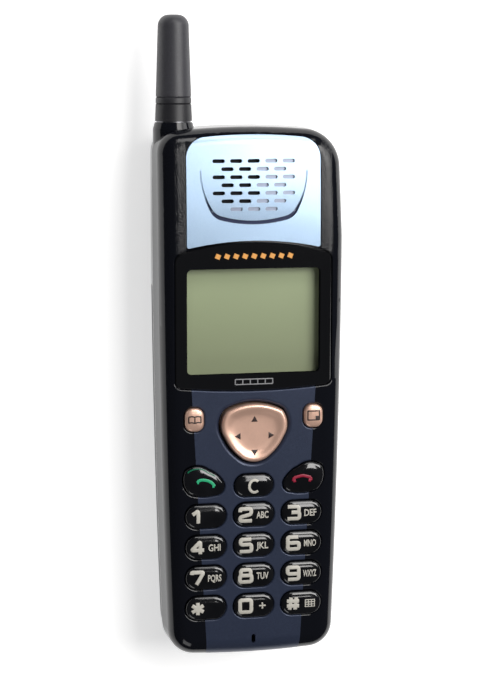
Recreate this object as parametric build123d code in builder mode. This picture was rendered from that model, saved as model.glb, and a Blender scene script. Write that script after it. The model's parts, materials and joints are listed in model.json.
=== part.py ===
"""Early mobile brick phone: a slim bar handset with a fixed antenna stub.

Millimetres.  X is to the right across the face, Y runs along the phone towards
the antenna, Z comes up out of the face.  The phone lies on its battery, face
up, and the origin is at the plan centre of the case, on the flat back.
"""
import math
import os
from build123d import *

os.makedirs("parts", exist_ok=True)

# ---- driving dimensions of the case -----------------------------------------
case_half = 23.9            # half the widest plan width, near the display
case_length = 136.0         # without the antenna
case_end = case_length / 2
foot_half = 21.7            # half width at the keypad end
widest_at = 40.0
foot_corner = 7.0
head_corner = 10.0
antenna_corner = 6.0        # of the head, beside the antenna
face_z = 25.0               # height of the keypad face above the back
parting_z = 14.0            # plane where front and rear cases meet
bow_start = 34.0            # the face is flat up to here, then bows backwards
bow_radius = 361.0
back_bow_radius = 240.0
front_draft = 3.5           # degrees
rear_draft = 6.0
side_wall = 1.5
face_wall = 2.0
ceiling_z = face_z - face_wall
fit_gap = 0.15              # between a key or lens and the hole it sits in
seam_height = 0.12          # half of the groove where two shells meet
seam_depth = 0.22
lie_gap = 0.1               # between inner parts that are stacked

# ---- battery, bay and back --------------------------------------------------
bay_end = 27.0              # end wall of the battery bay
bay_top = 10.4
floor_top = 12.4
battery_top = bay_top - 0.2
battery_end = bay_end - 0.3
battery_split = 8.6
cell_size = (17.0, 35.7, 6.1)
contact_pitch = 3.8
contact_z = 7.3
slide_travel = 8.0

# ---- display ----------------------------------------------------------------
lens_floor = 23.7
lens_half = 19.9
window_half = 17.0
window_low = 6.06
window_high = 32.6
window_mid = (window_low + window_high) / 2
lcd_size = (35.4, 29.6, 1.4)
lcd_low = 20.4
guide_size = (35.0, 25.8, 1.1)

# ---- earpiece plate ---------------------------------------------------------
plate_half = 16.95
plate_thick = 1.1
mesh_thick = 0.15
plate_seat = 1.3            # depth of the recess for the plate and its mesh
dish_low = 43.6             # the dish is deepest here and fades out at dish_high
dish_high = 58.0
dish_depth = 0.35
dish_corner = 4.4
moat_width = 0.95           # groove inside the lower rim of the dish
moat_side = 0.5
moat_high = 57.0
moat_depth = 0.85
slot_size = (3.1, 0.95)
slot_pitch = (4.43, 1.98)
first_slot_row = 59.3
blind_depth = 0.72          # of the slots that stop short of the mesh

# ---- keys -------------------------------------------------------------------
key_top = face_z + 1.0
flange_low = 22.25
flange_high = 22.85
flange_reach = 0.6
column_pitch = 12.4
row_pitch = 7.98
first_row = -30.16
digit_size = (10.4, 6.1)
digit_corner = 3.0
small_key_size = (4.85, 6.0)
small_key_place = (15.28, -5.2)
key_rim = 0.45              # rounding of the key holes
lens_rim = 0.3
nav_rim = 1.0
nav_centre = (0.0, -8.9)
nav_gap = 0.4
nav_flange_low = 21.8
nav_flange_high = 22.4

# ---- board stack ------------------------------------------------------------
board_low = 18.0
board_high = 19.0
mat_low = 20.0
mat_high = 20.6
pad_top = 21.6

# ---- antenna ----------------------------------------------------------------
antenna_x = -18.4
antenna_z = parting_z
antenna_base = 68.9
antenna_tip = 95.1
boss_radius = 5.2
bore_radius = 3.3

screw_places = [(-20.5, 24.0), (20.5, 24.0), (-16.5, -61.3), (16.5, -61.3)]
hook_places = [(-18.0, 13.0), (18.0, 13.0), (-16.0, -40.0), (16.0, -40.0)]
ear_place = (0.0, 53.4)
ear_opening = (22.4, 13.6)
mic_place = (0.0, -63.0)
jack_place = (-45.1, 16.3)  # y and z of the headset jack in the right flank
plug_z = 15.55              # middle of the system connector in the foot


def save(piece, name):
    """Label a finished piece and write it out"""
    piece.part.label = name
    export_step(piece.part, f"parts/{name}.step")


# ---- outlines ---------------------------------------------------------------
def case_outline(grow=0.0):
    """Plan of the case at the parting plane"""
    foot = foot_half + grow
    half = case_half + grow
    end = case_end + grow
    with BuildSketch() as outline:
        with BuildLine():
            ThreePointArc((-foot, 1 - end), (0, -end), (foot, 1 - end))
            ThreePointArc((foot, 1 - end), (half - 0.55, -10), (half, widest_at))
            Line((half, widest_at), (half - 1, end - 1.5))
            ThreePointArc((half - 1, end - 1.5), (0, end), (-half, end - 1.5))
            Line((-half, end - 1.5), (-half, widest_at))
            ThreePointArc((-half, widest_at), (0.55 - half, -10), (-foot, 1 - end))
        make_face()
        corners = outline.vertices().sort_by(Axis.Y)
        fillet(corners[:2], radius=foot_corner + grow)
        fillet(outline.vertices().sort_by(lambda v: v.X + v.Y)[-1], radius=head_corner + grow)
        fillet(outline.vertices().sort_by(lambda v: v.Y - v.X)[-1], radius=antenna_corner + grow)
    return outline.sketch


def arc_outline(arcs, centre, grow):
    """Closed outline of three-point arcs, each point moved away from the centre"""
    def moved(point):
        away = Vector(point[0] - centre[0], point[1] - centre[1])
        return Vector(*point) + away.normalized() * grow

    with BuildSketch() as outline:
        with BuildLine():
            for arc in arcs:
                ThreePointArc(*[moved(point) for point in arc])
        make_face()
        fillet(outline.vertices(), radius=1.2)
    return outline.sketch


def nav_outline(grow=0.0):
    """Rounded shield of the four-way key"""
    arcs = [((-7.2, -3.3), (0, -1.5), (7.2, -3.3)), ((7.2, -3.3), (8.5, -6.5), (7.6, -10.0)),
            ((7.6, -10.0), (6.1, -12.6), (3.9, -14.9)), ((3.9, -14.9), (0, -16.45), (-3.9, -14.9)),
            ((-3.9, -14.9), (-6.1, -12.6), (-7.6, -10.0)), ((-7.6, -10.0), (-8.5, -6.5), (-7.2, -3.3))]
    return arc_outline(arcs, nav_centre, grow)


def call_outline(side, grow=0.0):
    """Fan-shaped send key, or its mirror the end key; side is -1 or 1"""
    arcs = [((17.6, -18.2), (15.0, -17.1), (11.8, -18.1)), ((11.8, -18.1), (9.5, -19.5), (7.8, -21.6)),
            ((7.8, -21.6), (8.1, -23.9), (10.0, -24.75)), ((10.0, -24.75), (13.4, -25.0), (16.6, -24.2)),
            ((16.6, -24.2), (18.05, -21.4), (17.6, -18.2))]
    mirrored = [[(side * x, y) for x, y in arc] for arc in arcs]
    return arc_outline(mirrored, (side * 13.2, -21.2), grow)


def rounded_outline(centre, size, corner, grow=0.0):
    """Rounded rectangle"""
    with BuildSketch() as outline:
        with Locations(centre):
            RectangleRounded(size[0] + 2 * grow, size[1] + 2 * grow, corner + grow)
    return outline.sketch


def plate_outline(grow=0.0):
    """Earpiece plate"""
    half = plate_half + grow
    with BuildSketch() as outline:
        with BuildLine():
            ThreePointArc((-half, 37.75 - grow), (0, 39.6 - grow), (half, 37.75 - grow))
            Line((half, 37.75 - grow), (half, 64.6 + grow))
            ThreePointArc((half, 64.6 + grow), (0, 65.8 + grow), (-half, 64.6 + grow))
            Line((-half, 64.6 + grow), (-half, 37.75 - grow))
        make_face()
        fillet(outline.vertices().sort_by(Axis.Y)[:2], radius=0.5 + grow)
        fillet(outline.vertices().sort_by(Axis.Y)[-2:], radius=5.2 + grow)
    return outline.sketch


def lens_outline(grow=0.0):
    """Display lens with an arched top and a gently bowed bottom"""
    half = lens_half + grow
    with BuildSketch() as outline:
        with BuildLine():
            ThreePointArc((-half, 36.2 + grow), (0, 39.2 + grow), (half, 36.2 + grow))
            Line((half, 36.2 + grow), (half, 2.9 - grow))
            ThreePointArc((half, 2.9 - grow), (0, 1.75 - grow), (-half, 2.9 - grow))
            Line((-half, 2.9 - grow), (-half, 36.2 + grow))
        make_face()
        fillet(outline.vertices().sort_by(Axis.Y)[-2:], radius=2.6 + grow)
        fillet(outline.vertices().sort_by(Axis.Y)[:2], radius=1.6 + grow)
    return outline.sketch


def seam_cut(level, inset, height):
    """What is cut away to leave a fine groove where two shells meet, clear of the antenna boss"""
    with BuildPart() as ring:
        with BuildSketch(Plane.XY.offset(level)):
            Rectangle(80, 200)
            add(case_outline(-inset), mode=Mode.SUBTRACT)
            with Locations((-30, 70)):
                Rectangle(40, 30, mode=Mode.SUBTRACT)
        extrude(amount=height)
    return ring.part


# ---- the keys: name, outline function of its growth -------------------------
def digit_outline(column, row):
    """Outline function of one number key"""
    centre = (column * column_pitch, first_row - row * row_pitch)
    return lambda grow: rounded_outline(centre, digit_size, digit_corner, grow)


keys = {}
for index, key_name in enumerate("1 2 3 4 5 6 7 8 9 star 0 hash".split()):
    keys["key_" + key_name] = digit_outline(index % 3 - 1, index // 3)
keys["key_clear"] = lambda grow: rounded_outline((0, -22.6), (10.0, 5.7), 2.8, grow)
keys["key_send"] = lambda grow: call_outline(-1, grow)
keys["key_end"] = lambda grow: call_outline(1, grow)
keys["key_book"] = lambda grow: rounded_outline((-small_key_place[0], small_key_place[1]),
                                                small_key_size, 2.05, grow)
keys["key_memo"] = lambda grow: rounded_outline(small_key_place, small_key_size, 2.05, grow)
key_centres = {name: outline(0.0).face().center() for name, outline in keys.items()}


# ---- forms that several pieces share ----------------------------------------
def bowed_half(grow, level, far, draft_angle, radius, edge):
    """Solid half of the case from the parting plane to level, rounded at its rim

    The face at level is flat up to bow_start and then bows towards the parting plane.
    """
    reach = 80.0
    inward = 1 if level < parting_z else -1
    middle = (reach + bow_start) / 2
    with BuildPart() as form:
        with BuildSketch(Plane.XY.offset(parting_z)):
            add(case_outline(grow))
        extrude(amount=far - parting_z)
        flanks = form.faces().filter_by(lambda face: abs(face.normal_at().Z) < 0.1)
        draft(flanks, Plane(origin=(0, 0, parting_z), z_dir=(0, 0, -inward)), draft_angle)
        with BuildSketch(Plane.YZ.offset(-reach / 2)):
            with BuildLine():
                middle_z = level + inward * (middle - bow_start) ** 2 / (2 * radius)
                end_z = level + inward * (reach - bow_start) ** 2 / (2 * radius)
                back_z = parting_z + 3 * inward
                Polyline((bow_start, level), (-reach, level), (-reach, back_z),
                         (reach, back_z), (reach, end_z))
                ThreePointArc((bow_start, level), (middle, middle_z), (reach, end_z))
            make_face()
        extrude(amount=reach, mode=Mode.INTERSECT)
        rim = form.edges().filter_by(
            lambda e: abs(e.center().Z - level) < 4
            and not (abs(e.center().X) < 1 and abs(e.center().Y) < 60))
        fillet(rim, radius=edge)
    return form.part


def front_form(grow=0.0, drop=0.0, edge=4.5):
    """Solid front half of the case"""
    return bowed_half(grow, face_z - drop, face_z + 0.5, front_draft, bow_radius, edge)


def rear_form(grow=0.0, lift=0.0, edge=4.0):
    """Solid rear half of the phone, battery included"""
    return bowed_half(grow, lift, -0.5, rear_draft, back_bow_radius, edge)


outer_front = front_form()
inner_front = front_form(-side_wall, face_wall, 3.0)
outer_rear = rear_form()
inner_rear = rear_form(-side_wall, side_wall, 2.5)

# ---- front case -------------------------------------------------------------
with BuildPart() as plate_recess:
    with BuildSketch(Plane.XY.offset(18)):
        add(plate_outline(0.25))
    extrude(amount=10)
    add(outer_front.moved(Location((0, 0, -plate_seat))), mode=Mode.SUBTRACT)

antenna_axis = Axis((antenna_x, 0, antenna_z), (0, 1, 0))

with BuildPart() as antenna_boss:
    with BuildSketch(Plane.XY.offset(antenna_z)):
        with BuildLine():
            Polyline((antenna_x, 56.0), (antenna_x + boss_radius - 2.0, 56.0),
                     (antenna_x + boss_radius, 59.0), (antenna_x + boss_radius, 67.0),
                     (antenna_x + 4.75, 68.6), (antenna_x, 68.6), close=True)
        make_face()
    revolve(axis=antenna_axis)

with BuildPart() as antenna_bore:
    with BuildSketch(Plane.XY.offset(antenna_z)):
        with BuildLine():
            Polyline((antenna_x, 50.0), (antenna_x + bore_radius, 50.0),
                     (antenna_x + bore_radius, 70.0), (antenna_x, 70.0), close=True)
        make_face()
    revolve(axis=antenna_axis)

with BuildPart() as front_case:
    add(outer_front)
    add(inner_front, mode=Mode.SUBTRACT)
    add(antenna_boss.part)
    with BuildSketch(Plane.XY.offset(parting_z + 0.5)):
        with Locations(*screw_places):
            Circle(1.9)
    extrude(amount=ceiling_z - parting_z)
    with Locations((0, 0, parting_z - 20)):
        Box(80, 200, 40, mode=Mode.SUBTRACT)
    add(seam_cut(parting_z, seam_depth, seam_height), mode=Mode.SUBTRACT)
    add(antenna_bore.part, mode=Mode.SUBTRACT)
    with BuildSketch(Plane.XY.offset(parting_z)):
        with Locations(*screw_places):
            Circle(0.8)
    extrude(amount=8, mode=Mode.SUBTRACT)
    with BuildSketch(Plane.XY.offset(lens_floor)):
        add(lens_outline(fit_gap))
    extrude(amount=4, mode=Mode.SUBTRACT)
    fillet(front_case.edges().filter_by(
        lambda e: e.bounding_box().min.Z > lens_floor + 0.5 and -0.5 < e.center().Y < 42), radius=lens_rim)
    add(plate_recess.part, mode=Mode.SUBTRACT)
    with BuildSketch(Plane.XY.offset(20)):
        with Locations((0, (window_low + window_high) / 2)):
            RectangleRounded(2 * window_half + 0.6, window_high - window_low + 0.6, 1.6)
        with Locations(ear_place):
            RectangleRounded(*ear_opening, 3.0)
        add(nav_outline(nav_gap))
        for outline in keys.values():
            add(outline(fit_gap))
        with Locations(mic_place):
            SlotOverall(2.4, 1.0, rotation=90)
    extrude(amount=10, mode=Mode.SUBTRACT)
    rims = front_case.edges().filter_by(
        lambda e: abs(e.center().Z - face_z) < 0.01 and -58 < e.center().Y < -0.5
        and abs(e.center().X) < 18.4)
    nav_rims = rims.filter_by(lambda e: abs(e.center().X) < 9.5 and e.center().Y > -17.5)
    key_rims = rims.filter_by(lambda e: abs(e.center().X) > 9.5 or e.center().Y < -17.5)
    fillet(key_rims, radius=key_rim)
    fillet(nav_rims, radius=nav_rim)
    with Locations((case_half - 1, jack_place[0], jack_place[1])):
        Cylinder(2.0, 8, rotation=(0, 90, 0), mode=Mode.SUBTRACT)
    with Locations((0, -case_end, plug_z)):
        Box(16.4, 6, 3.3, mode=Mode.SUBTRACT)
save(front_case, "front_case")

# ---- earpiece plate, its dish and its slots ---------------------------------
def face_level(y):
    """Height of the bowed face at y"""
    return face_z - max(0.0, y - bow_start) ** 2 / (2 * bow_radius)


def dish_level(y):
    """Height of the dish floor at y, which meets the face smoothly at dish_high"""
    return face_level(y) - dish_depth * ((dish_high - y) / (dish_high - dish_low)) ** 2


def dish_outline(inset=0.0, side_inset=0.0):
    """Rim of the dish, or a line inside it"""
    low = dish_low + inset
    foot = 10.1 - side_inset
    with BuildSketch() as outline:
        with BuildLine():
            ThreePointArc((-foot, low + 1.6), (0, low), (foot, low + 1.6))
            ThreePointArc((foot, low + 1.6), (12.6 - side_inset, 50.6), (13.7 - side_inset, dish_high))
            Line((13.7 - side_inset, dish_high), (side_inset - 13.7, dish_high))
            ThreePointArc((side_inset - 13.7, dish_high), (side_inset - 12.6, 50.6), (-foot, low + 1.6))
        make_face()
        fillet(outline.vertices().sort_by(Axis.Y)[:2], radius=dish_corner - side_inset)
    return outline.sketch


dish_mid = (dish_low + dish_high) / 2
with BuildPart() as plate_dish:
    with BuildSketch(Plane.YZ.offset(-20)):
        with BuildLine():
            ThreePointArc(*[(y, dish_level(y)) for y in (dish_low, dish_mid, dish_high)])
            Polyline((dish_high, dish_level(dish_high)), (dish_high, 30), (dish_low, 30),
                     (dish_low, dish_level(dish_low)))
        make_face()
    extrude(amount=40)
    with BuildSketch(Plane.XY.offset(20)):
        add(dish_outline())
    extrude(amount=12, mode=Mode.INTERSECT)

with BuildPart() as plate_moat:
    with BuildSketch(Plane.YZ.offset(-20)):
        with BuildLine():
            Polyline((dish_low, face_level(dish_low) - moat_depth), (moat_high, face_level(moat_high)),
                     (moat_high, 30), (dish_low, 30), close=True)
        make_face()
    extrude(amount=40)
    with BuildSketch(Plane.XY.offset(20)):
        add(dish_outline())
        add(dish_outline(moat_width, moat_side), mode=Mode.SUBTRACT)
    extrude(amount=12, mode=Mode.INTERSECT)

open_slots = []
blind_slots = []
for row in range(7):
    count = 3 if row == 6 else 5 - row % 2
    open_count = 0 if row == 6 else 3 - row % 2
    for column in range(count):
        place = ((column - (count - 1) / 2) * slot_pitch[0], first_slot_row - row * slot_pitch[1])
        (open_slots if column < open_count else blind_slots).append(place)

with BuildPart() as blind_cut:
    with BuildSketch(Plane.XY.offset(20)):
        with Locations(*blind_slots):
            SlotOverall(*slot_size)
    extrude(amount=8)
    add(outer_front.moved(Location((0, 0, -blind_depth))), mode=Mode.SUBTRACT)

with BuildPart() as earpiece_plate:
    with BuildSketch(Plane.XY.offset(18)):
        add(plate_outline())
    extrude(amount=10)
    add(outer_front, mode=Mode.INTERSECT)
    add(outer_front.moved(Location((0, 0, -plate_thick))), mode=Mode.SUBTRACT)
    add(plate_dish.part, mode=Mode.SUBTRACT)
    add(plate_moat.part, mode=Mode.SUBTRACT)
    add(blind_cut.part, mode=Mode.SUBTRACT)
    with BuildSketch(Plane.XY.offset(18)):
        with Locations(*open_slots):
            SlotOverall(*slot_size)
    extrude(amount=10, mode=Mode.SUBTRACT)
save(earpiece_plate, "earpiece_plate")

with BuildPart() as earpiece_mesh:
    with BuildSketch(Plane.XY.offset(18)):
        with Locations(ear_place):
            RectangleRounded(ear_opening[0] + 2.2, ear_opening[1] + 2.2, 3.5)
    extrude(amount=10)
    add(outer_front.moved(Location((0, 0, mesh_thick - plate_seat + 0.02))), mode=Mode.INTERSECT)
    add(outer_front.moved(Location((0, 0, 0.02 - plate_seat))), mode=Mode.SUBTRACT)
save(earpiece_mesh, "earpiece_mesh")

# ---- display stack ----------------------------------------------------------
with BuildPart() as display_lens:
    with BuildSketch(Plane.XY.offset(lens_floor)):
        add(lens_outline())
    extrude(amount=face_z - lens_floor - 0.05)
    chamfer(display_lens.edges().group_by(Axis.Z)[-1], length=0.25)
save(display_lens, "display_lens")

with BuildPart() as lcd_glass:
    with Locations((0, window_mid, lcd_low + lcd_size[2] / 2)):
        Box(*lcd_size)
save(lcd_glass, "lcd_glass")

with BuildPart() as light_guide:
    with Locations((0, window_mid + 1.4, lcd_low - lie_gap - guide_size[2] / 2)):
        Box(*guide_size)
    chamfer(light_guide.edges().filter_by(Axis.Z), length=1.0)
save(light_guide, "light_guide")

with BuildPart() as lcd_holder:
    with Locations((0, window_mid, (board_high + ceiling_z - lie_gap) / 2)):
        Box(36.9, 31.4, ceiling_z - lie_gap - board_high)
    with Locations((0, window_mid, lcd_low)):
        Box(lcd_size[0] + 0.2, lcd_size[1] + 0.2, 2.9, mode=Mode.SUBTRACT)
    with Locations((0, window_mid, 22.0)):
        Box(34.6, 27.2, 4, mode=Mode.SUBTRACT)
    fillet(lcd_holder.edges().filter_by(Axis.Z).group_by(SortBy.DISTANCE)[-1], radius=0.4)
save(lcd_holder, "lcd_holder")

with BuildPart() as zebra_strip:
    with Locations((0, 5.3, (board_high + lcd_low) / 2)):
        Box(33.0, 1.6, lcd_low - board_high)
    fillet(zebra_strip.edges().filter_by(Axis.X), radius=0.3)
save(zebra_strip, "zebra_strip")

# ---- keys -------------------------------------------------------------------
for key_name, outline in keys.items():
    with BuildPart() as key:
        with BuildSketch(Plane.XY.offset(flange_low)):
            add(outline(flange_reach))
        extrude(amount=flange_high - flange_low)
        with BuildSketch(Plane.XY.offset(flange_low)):
            add(outline(0.0))
        extrude(amount=key_top - flange_low)
        fillet(key.faces().sort_by(Axis.Z)[-1].edges(), radius=0.85)
    save(key, key_name)

with BuildPart() as nav_key:
    with BuildSketch(Plane.XY.offset(nav_flange_low)):
        add(nav_outline(0.75))
    extrude(amount=nav_flange_high - nav_flange_low)
    with BuildSketch(Plane.XY.offset(nav_flange_low)):
        add(nav_outline())
    extrude(amount=face_z + 1.3 - nav_flange_low)
    fillet(nav_key.faces().sort_by(Axis.Z)[-1].edges(), radius=0.9)
    with Locations((nav_centre[0], nav_centre[1], nav_flange_low + 0.7)):
        Cylinder(2.4, 1.4, mode=Mode.SUBTRACT)
save(nav_key, "nav_key")

with BuildPart() as nav_pivot:
    with Locations((nav_centre[0], nav_centre[1], 21.75)):
        Cylinder(1.5, 1.9)
    fillet(nav_pivot.edges().group_by(Axis.Z)[-1], radius=0.7)
save(nav_pivot, "nav_pivot")

# ---- keypad mat, domes and board --------------------------------------------
nav_pads = [(x + nav_centre[0], y + nav_centre[1]) for x, y in [(5, 0), (-5, 0), (0, 4.6), (0, -4.6)]]

with BuildPart() as keypad_mat:
    with BuildSketch(Plane.XY.offset(mat_low)):
        with Locations((0, -29.2)):
            Rectangle(36.0, 58.4)
        with Locations(*screw_places):
            Circle(2.4, mode=Mode.SUBTRACT)
    extrude(amount=mat_high - mat_low)
    for outline in keys.values():
        with BuildSketch(Plane.XY.offset(mat_high)):
            add(outline(-1.1))
        extrude(amount=pad_top - mat_high)
    with BuildSketch(Plane.XY.offset(mat_high)):
        with Locations(*nav_pads):
            Circle(1.3)
    extrude(amount=0.5)
    with BuildSketch(Plane.XY.offset(mat_low - 0.5)):
        with Locations(*[(c.X, c.Y) for c in key_centres.values()], *nav_pads):
            Circle(0.9)
    extrude(amount=0.5)
save(keypad_mat, "keypad_mat")

with BuildPart() as snap_domes:
    with BuildSketch(Plane.XY.offset(board_high)):
        with Locations(*[(c.X, c.Y) for c in key_centres.values()], *nav_pads):
            Circle(1.9)
    extrude(amount=0.35)
    chamfer(snap_domes.edges().group_by(Axis.Z)[-1], length=0.3, length2=0.9)
save(snap_domes, "snap_domes")

with BuildPart() as main_board:
    with BuildSketch(Plane.XY.offset(board_low)):
        add(case_outline(-2.3))
        with Locations(*screw_places):
            Circle(2.3, mode=Mode.SUBTRACT)
        with Locations((0, 65)):
            Rectangle(80, 10, mode=Mode.SUBTRACT)
        with Locations((-18.4, 60)):
            Rectangle(14, 12, mode=Mode.SUBTRACT)
    extrude(amount=board_high - board_low)
save(main_board, "main_board")

# ---- sound ------------------------------------------------------------------
with BuildPart() as ear_speaker:
    with Locations((ear_place[0], ear_place[1], 20.2)):
        Cylinder(7.3, 2.2)
    fillet(ear_speaker.edges().group_by(Axis.Z)[-1], radius=0.5)
    with Locations((ear_place[0], ear_place[1], 21.3)):
        Cylinder(4.6, 0.8, mode=Mode.SUBTRACT)
save(ear_speaker, "ear_speaker")

with BuildPart() as speaker_gasket:
    with Locations((ear_place[0], ear_place[1], 21.55)):
        Cylinder(7.2, 0.4)
        Cylinder(5.6, 0.4, mode=Mode.SUBTRACT)
save(speaker_gasket, "speaker_gasket")

with BuildPart() as microphone:
    with Locations((mic_place[0], mic_place[1] + 0.8, 20.0)):
        Cylinder(1.9, 1.9)
    fillet(microphone.edges().group_by(Axis.Z)[-1], radius=0.25)
save(microphone, "microphone")

with BuildPart() as mic_boot:
    with Locations((mic_place[0], mic_place[1] + 0.8, 20.35)):
        Cylinder(2.4, 2.6)
    with Locations((mic_place[0], mic_place[1] + 0.8, 20.0)):
        Cylinder(1.95, 2.0, mode=Mode.SUBTRACT)
    with Locations((mic_place[0], mic_place[1] + 0.4, 22)):
        Cylinder(0.6, 4, mode=Mode.SUBTRACT)
save(mic_boot, "mic_boot")

with BuildPart() as buzzer:
    with Locations((8, 50, 16.0)):
        Cylinder(5.0, 3.9)
        Cylinder(0.9, 3.9, mode=Mode.SUBTRACT)
    fillet(buzzer.edges().group_by(Axis.Z)[0].sort_by(SortBy.LENGTH)[-1], radius=0.6)
save(buzzer, "buzzer")

# ---- under the board --------------------------------------------------------
def shield_can(centre, size):
    """Pressed screening lid, open towards the board"""
    height = 3.2
    with BuildPart() as can:
        with Locations((centre[0], centre[1], board_low - lie_gap / 2 - height / 2)):
            Box(size[0], size[1], height)
        fillet(can.edges().filter_by(Axis.Z), radius=1.0)
        with Locations((centre[0], centre[1], board_low - height / 2 + 0.3)):
            Box(size[0] - 0.6, size[1] - 0.6, height, mode=Mode.SUBTRACT)
    return can


save(shield_can((-5, 22), (24, 26)), "shield_can_radio")
save(shield_can((-1, -28), (26, 34)), "shield_can_logic")

with BuildPart() as board_chips:
    with BuildSketch(Plane.XY.offset(board_low)):
        with Locations((-9, 24), (1, 16), (-6, -22), (6, -38)):
            Rectangle(9, 9)
        with Locations((7, -20), (-7, -38)):
            Rectangle(6, 11)
    extrude(amount=-1.3)
    chamfer(board_chips.edges().group_by(Axis.Z)[0], length=0.2)
save(board_chips, "board_chips")

with BuildPart() as backup_cell:
    with Locations((13.5, 18, board_low - 1.2)):
        Cylinder(4.8, 2.3)
    fillet(backup_cell.edges().group_by(Axis.Z)[0], radius=0.5)
save(backup_cell, "backup_cell")

with BuildPart() as system_connector:
    with Locations((0, -64.2, plug_z)):
        Box(16.0, 6.4, 2.9)
    with Locations((0, -66.6, plug_z)):
        Box(14.4, 2.6, 1.9, mode=Mode.SUBTRACT)
save(system_connector, "system_connector")

with BuildPart() as connector_pins:
    with Locations((0, -66.3, plug_z)):
        with GridLocations(1.35, 1, 10, 1):
            Box(0.5, 1.8, 0.5)
save(connector_pins, "connector_pins")

with BuildPart() as headset_jack:
    with Locations((16.8, jack_place[0], jack_place[1])):
        Box(7.0, 5.4, 3.3)
    with Locations((18.2, jack_place[0], jack_place[1])):
        Cylinder(1.25, 8, rotation=(0, 90, 0), mode=Mode.SUBTRACT)
save(headset_jack, "headset_jack")

with BuildPart() as jack_cover:
    with Locations((21.85, jack_place[0], jack_place[1])):
        Cylinder(1.9, 2.0, rotation=(0, 90, 0))
    fillet(jack_cover.edges().group_by(Axis.X)[-1], radius=0.4)
save(jack_cover, "jack_cover")

# ---- antenna ----------------------------------------------------------------
def turned(points):
    """Solid of revolution about the antenna axis from (radius, y) points"""
    with BuildPart() as piece:
        with BuildSketch(Plane.XY.offset(antenna_z)):
            with BuildLine():
                Polyline(*[(antenna_x + r, y) for r, y in points], close=True)
            make_face()
        revolve(axis=antenna_axis)
    return piece


core_end = 90.0
with BuildPart() as antenna_stub:
    with BuildSketch(Plane.XY.offset(antenna_z)):
        with BuildLine():
            Polyline((antenna_x, antenna_base), (antenna_x + 4.65, antenna_base),
                     (antenna_x + 4.48, 73.0), (antenna_x + 4.25, 73.15),
                     (antenna_x + 4.48, 73.4), (antenna_x + 4.45, 74.6),
                     (antenna_x + 4.22, 74.8), (antenna_x + 4.43, 75.0),
                     (antenna_x + 3.8, antenna_tip), (antenna_x, antenna_tip), close=True)
        make_face()
    revolve(axis=antenna_axis)
    fillet(antenna_stub.edges().group_by(Axis.Y)[-1], radius=2.8)
    with Locations((antenna_x, (antenna_base + core_end) / 2, antenna_z)):
        Cylinder(2.6, core_end - antenna_base, rotation=(90, 0, 0), mode=Mode.SUBTRACT)
save(antenna_stub, "antenna_stub")

save(turned([(0, 70.2), (1.2, 70.2), (1.2, core_end - 0.5), (0, core_end - 0.5)]), "antenna_core")

coil_turns = 7
coil_pitch = 2.4
with BuildPart() as antenna_coil:
    for turn in range(coil_turns):
        with BuildSketch(Plane.XY.offset(antenna_z)):
            with Locations((antenna_x + 1.9, 73 + turn * coil_pitch)):
                Circle(0.35)
        revolve(axis=antenna_axis)
save(antenna_coil, "antenna_coil")

save(turned([(0, 60.5), (1.9, 60.5), (2.1, 61.0), (2.1, 68.2), (3.2, 68.2), (3.2, 68.62),
             (4.3, 68.62), (4.3, 68.88), (2.5, 68.88), (2.5, 70.15), (0, 70.15)]), "antenna_ferrule")
save(turned([(2.15, 60.0), (3.25, 60.0), (3.25, 68.15), (2.15, 68.15)]), "antenna_bushing")

with BuildPart() as antenna_contact:
    with BuildSketch(Plane.YZ.offset(antenna_x - 1.2)):
        with BuildLine():
            Polyline((52.0, 17.95), (55.4, 17.95), (55.4, 17.7), (56.6, 14.6), (59.9, 14.6),
                     (60.4, 14.9), (60.4, 14.2), (60.0, 14.3), (56.3, 14.3), (55.1, 17.6), (52.0, 17.6),
                     close=True)
        make_face()
    extrude(amount=2.4)
save(antenna_contact, "antenna_contact")

# ---- rear case --------------------------------------------------------------
sim_size = (25.0, 15.0, 0.76)
sim_low = 10.5
sim_near = 8.0              # the edge of the card nearest the keypad end
pocket_top = 11.4

with BuildPart() as rear_cavity:
    add(inner_rear)
    with Locations((0, bay_end + side_wall - 100, floor_top - 50)):
        Box(100, 200, 100, mode=Mode.SUBTRACT)

with BuildPart() as rear_case:
    add(outer_rear)
    add(rear_cavity.part, mode=Mode.SUBTRACT)
    with Locations((0, bay_end - 100, bay_top - 50)):
        Box(100, 200, 100, mode=Mode.SUBTRACT)
    add(antenna_boss.part)
    with Locations((0, 0, parting_z + 20)):
        Box(80, 200, 40, mode=Mode.SUBTRACT)
    add(seam_cut(parting_z, seam_depth, -seam_height), mode=Mode.SUBTRACT)
    add(antenna_bore.part, mode=Mode.SUBTRACT)
    with Locations((0, sim_near + sim_size[1] / 2 - slide_travel / 2 - 0.1, pocket_top - 2)):
        Box(sim_size[0] + 0.4, sim_size[1] + slide_travel + 0.6, 4, mode=Mode.SUBTRACT)
    with Locations((0, sim_near + sim_size[1] / 2, 12)):
        Box(12.4, 8.4, 4, mode=Mode.SUBTRACT)
    for x, y in hook_places:
        with Locations((x, y - slide_travel / 2, 11)):
            Box(2.8, slide_travel + 2.8, 6, mode=Mode.SUBTRACT)
        with Locations((x, y - slide_travel, 11)):
            Box(5.8, 3.4, 6, mode=Mode.SUBTRACT)
    with Locations(*[(x, y, 11.4) for x, y in screw_places]):
        Cylinder(1.15, 6, mode=Mode.SUBTRACT)
    with Locations(*[(x, y, bay_top) for x, y in screw_places]):
        Cylinder(2.1, 2.4, mode=Mode.SUBTRACT)
    with Locations((0, 33.2, 0)):
        Box(10.0, 9.4, 6, mode=Mode.SUBTRACT)
    with Locations((0, bay_end + 0.5, 2.5)):
        Box(5.6, 6, 1.9, mode=Mode.SUBTRACT)
    with Locations((0, bay_end, contact_z)):
        Box(14.4, 6, 2.6, mode=Mode.SUBTRACT)
    with Locations((0, 43.7, 4.2)):
        Box(8.0, 1.4, 6)
save(rear_case, "rear_case")

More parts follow.
